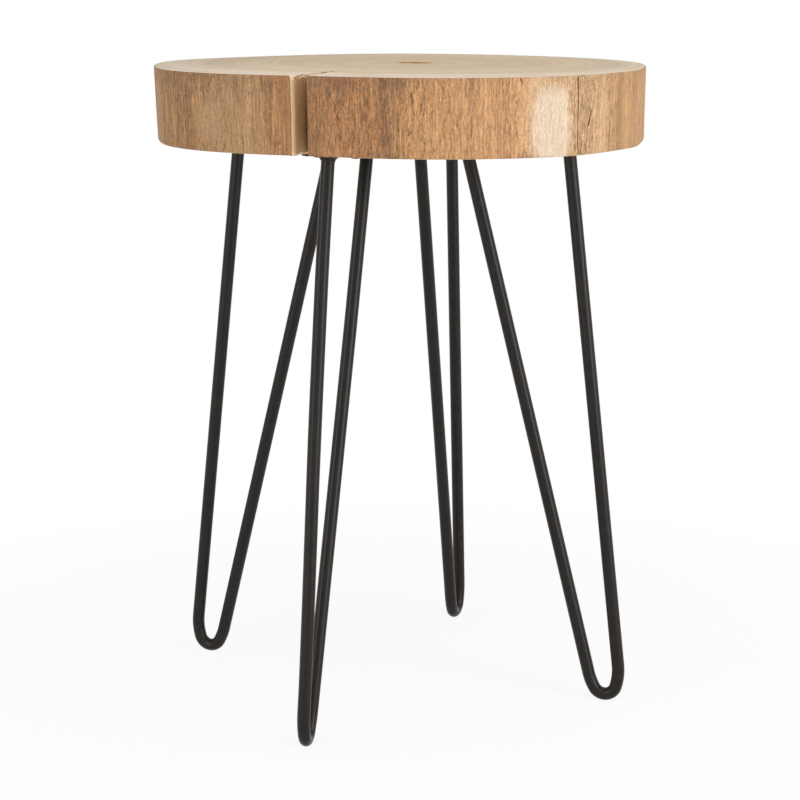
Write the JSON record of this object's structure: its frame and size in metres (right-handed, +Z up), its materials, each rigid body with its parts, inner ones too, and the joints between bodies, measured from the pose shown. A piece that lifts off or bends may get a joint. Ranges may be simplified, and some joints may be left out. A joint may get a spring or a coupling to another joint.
{
  "type": "log slice side table",
  "caption": "Small round side table: a thick cross-cut log slice with a drying crack, standing on splayed hairpin legs of black steel bar.",
  "frame": {"origin": "on the floor under the middle of the table, in the middle of the four feet", "axes": "+Z up; +X towards the right leg, +Y towards the rear leg, and the drying crack opens towards -Y, beside the front leg"},
  "size_m": [0.4082, 0.401, 0.526],
  "materials": {
    "log_wood": "bare sanded end grain, smooth debarked edge",
    "black_steel": "satin warm black",
    "black_screw": "black oxide"
  },
  "bodies": {
    "root": {"slab_top": "log_wood", "right_leg_rod": "black_steel", "right_leg_plate": "black_steel", "right_leg_welds": "black_steel", "right_leg_screws": "black_screw", "rear_leg_rod": "black_steel", "rear_leg_plate": "black_steel", "rear_leg_welds": "black_steel", "rear_leg_screws": "black_screw", "left_leg_rod": "black_steel", "left_leg_plate": "black_steel", "left_leg_welds": "black_steel", "left_leg_screws": "black_screw", "front_leg_rod": "black_steel", "front_leg_plate": "black_steel", "front_leg_welds": "black_steel", "front_leg_screws": "black_screw"}
  },
  "joints": []
}
